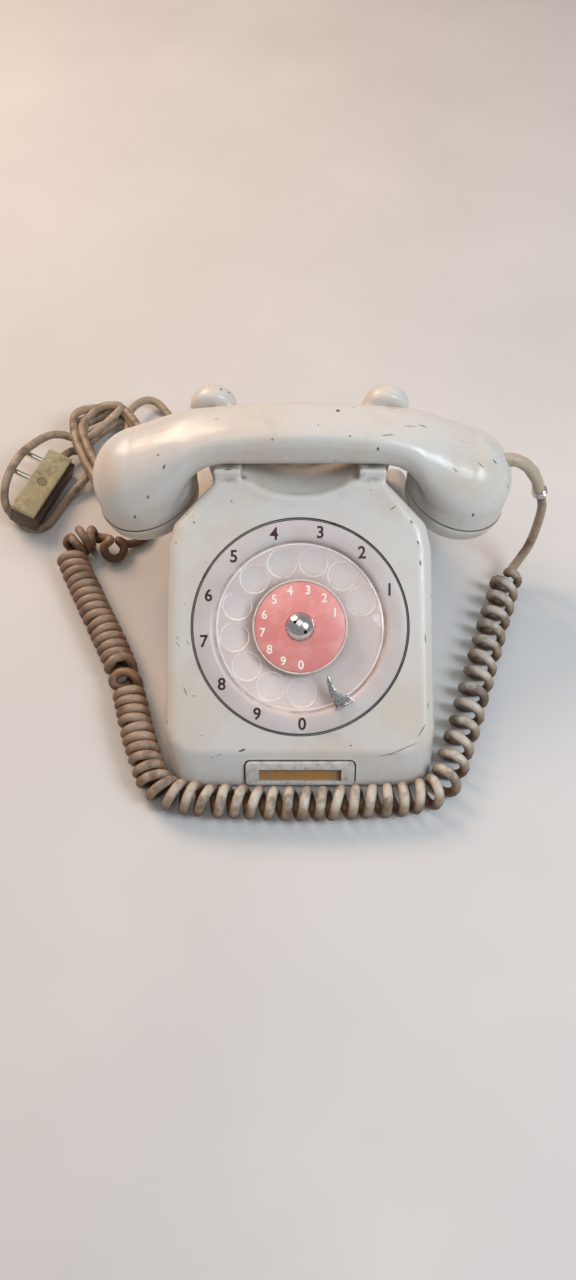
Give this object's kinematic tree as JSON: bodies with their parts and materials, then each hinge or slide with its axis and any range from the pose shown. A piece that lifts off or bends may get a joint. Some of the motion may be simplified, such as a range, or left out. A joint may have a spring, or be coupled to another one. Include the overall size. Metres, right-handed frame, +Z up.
{
  "type": "rotary telephone",
  "caption": "Desk telephone with a clear rotary finger wheel, a handset on a saddle cradle, a curly handset cord and a line cord with a plug.",
  "frame": {"origin": "on the surface that the feet rest on, under the middle of the case and handset", "axes": "+Z up, -Y the front with the dial, +X the right end of the handset seen from the front"},
  "size_m": [0.3385, 0.3077, 0.1275],
  "materials": {
    "case_plastic": "glossy, aged and scuffed",
    "plate_steel": "zinc plated",
    "screw_steel": "zinc plated",
    "bright_metal": "polished",
    "rubber_black": "matte",
    "label_grey": "satin",
    "label_amber": "aged",
    "clear_plastic": "clear, polished",
    "ring_plastic": "satin",
    "coral_plastic": "satin",
    "gear_brass": "machined",
    "cam_plastic": "moulded",
    "board_brown": "laminated",
    "coil_copper": "enamelled winding",
    "can_metal": "satin",
    "block_black": "moulded",
    "gong_steel": "nickel plated",
    "cord_beige": "aged and dirty",
    "plug_olive": "speckled",
    "plug_brown": "moulded"
  },
  "bodies": {
    "body": {"case_shell": "case_plastic", "base_plate": "plate_steel", "rubber_feet": "rubber_black", "case_screws": "screw_steel", "label_frame": "label_grey", "label_card": "label_amber", "label_window": "clear_plastic", "number_ring": "ring_plastic", "dial_plate": "plate_steel", "dial_screws": "screw_steel", "finger_stop": "screw_steel", "mainspring": "plate_steel", "impulse_contacts": "cam_plastic", "dial_bridge": "plate_steel", "hook_pin": "plate_steel", "hook_bracket": "plate_steel", "hook_contacts": "cam_plastic", "circuit_board": "board_brown", "induction_coil": "coil_copper", "capacitor": "can_metal", "terminal_block": "block_black", "terminal_screws": "gear_brass", "ringer_frame": "plate_steel", "ringer_coils": "coil_copper", "left_gong": "gong_steel", "right_gong": "gong_steel", "gong_screws": "screw_steel", "handset_cord_lead": "cord_beige", "curly_cord": "cord_beige", "curly_cord_tail": "cord_beige", "handset_cord_gland": "rubber_black", "line_cord_gland": "rubber_black", "line_cord": "cord_beige", "line_cord_hank": "cord_beige", "line_cord_end": "cord_beige", "plug_cover": "plug_olive", "plug_base": "plug_brown", "plug_pins": "bright_metal", "plug_screw": "screw_steel"},
    "dial": {"finger_wheel": "clear_plastic", "centre_disc": "coral_plastic", "disc_rim": "ring_plastic", "centre_screw": "bright_metal", "dial_shaft": "plate_steel", "main_gear": "gear_brass", "impulse_cam": "cam_plastic"},
    "train": {"train_gear": "gear_brass"},
    "governor": {"governor_shaft": "plate_steel", "governor_weights": "gear_brass"},
    "handset": {"handset_shell": "case_plastic", "ear_cap": "case_plastic", "mouth_cap": "case_plastic", "receiver_capsule": "can_metal", "transmitter_capsule": "can_metal", "cord_sleeve": "cord_beige", "cord_ferrule": "bright_metal"},
    "left_hook_plunger": {"left_plunger": "case_plastic"},
    "right_hook_plunger": {"right_plunger": "case_plastic"},
    "hook_arm": {"hook_lever": "plate_steel"},
    "hammer": {"clapper": "gear_brass"}
  },
  "joints": [
    {"name": "dial_spin", "type": "hinge", "parent": "body", "child": "dial", "pos_m": [0, -0.0335, 0.058], "axis": [0, 0.5446, -0.8387], "range_deg": [0, 318], "stiffness_Nm_per_rad": 0.008, "springref_deg": -22.92},
    {"name": "train_spin", "type": "hinge", "parent": "body", "child": "train", "pos_m": [0, -0.01471, 0.0702], "axis": [0, 0.5446, -0.8387], "range_deg": [-960, 0]},
    {"name": "governor_spin", "type": "hinge", "parent": "body", "child": "governor", "pos_m": [0.01819, -0.02352, 0.06448], "axis": [0, 0.5446, -0.8387], "range_deg": [0, 2880]},
    {"name": "handset_lift", "type": "slide", "parent": "body", "child": "handset", "axis": [0, 0, 1], "range_m": [0, 0.08]},
    {"name": "left_plunger_rise", "type": "slide", "parent": "body", "child": "left_hook_plunger", "axis": [0, 0, 1], "range_m": [0, 0.005]},
    {"name": "right_plunger_rise", "type": "slide", "parent": "body", "child": "right_hook_plunger", "axis": [0, 0, 1], "range_m": [0, 0.005]},
    {"name": "hook_arm_swing", "type": "hinge", "parent": "body", "child": "hook_arm", "pos_m": [0, 0.08, 0.07], "axis": [-1, 0, 0], "range_deg": [0, 9.6]},
    {"name": "hammer_swing", "type": "hinge", "parent": "body", "child": "hammer", "pos_m": [0, 0.054, 0.02], "axis": [0, 0, 1], "range_deg": [-4.5, 4.5], "stiffness_Nm_per_rad": 0.004}
  ],
  "couplings": [
    {"joint": "train_spin", "follows": "dial_spin", "ratio": -3},
    {"joint": "governor_spin", "follows": "dial_spin", "ratio": 9},
    {"joint": "left_plunger_rise", "follows": "handset_lift", "ratio": 0.0625},
    {"joint": "right_plunger_rise", "follows": "handset_lift", "ratio": 0.0625},
    {"joint": "hook_arm_swing", "follows": "handset_lift", "rad_per_m": 2.0726}
  ]
}
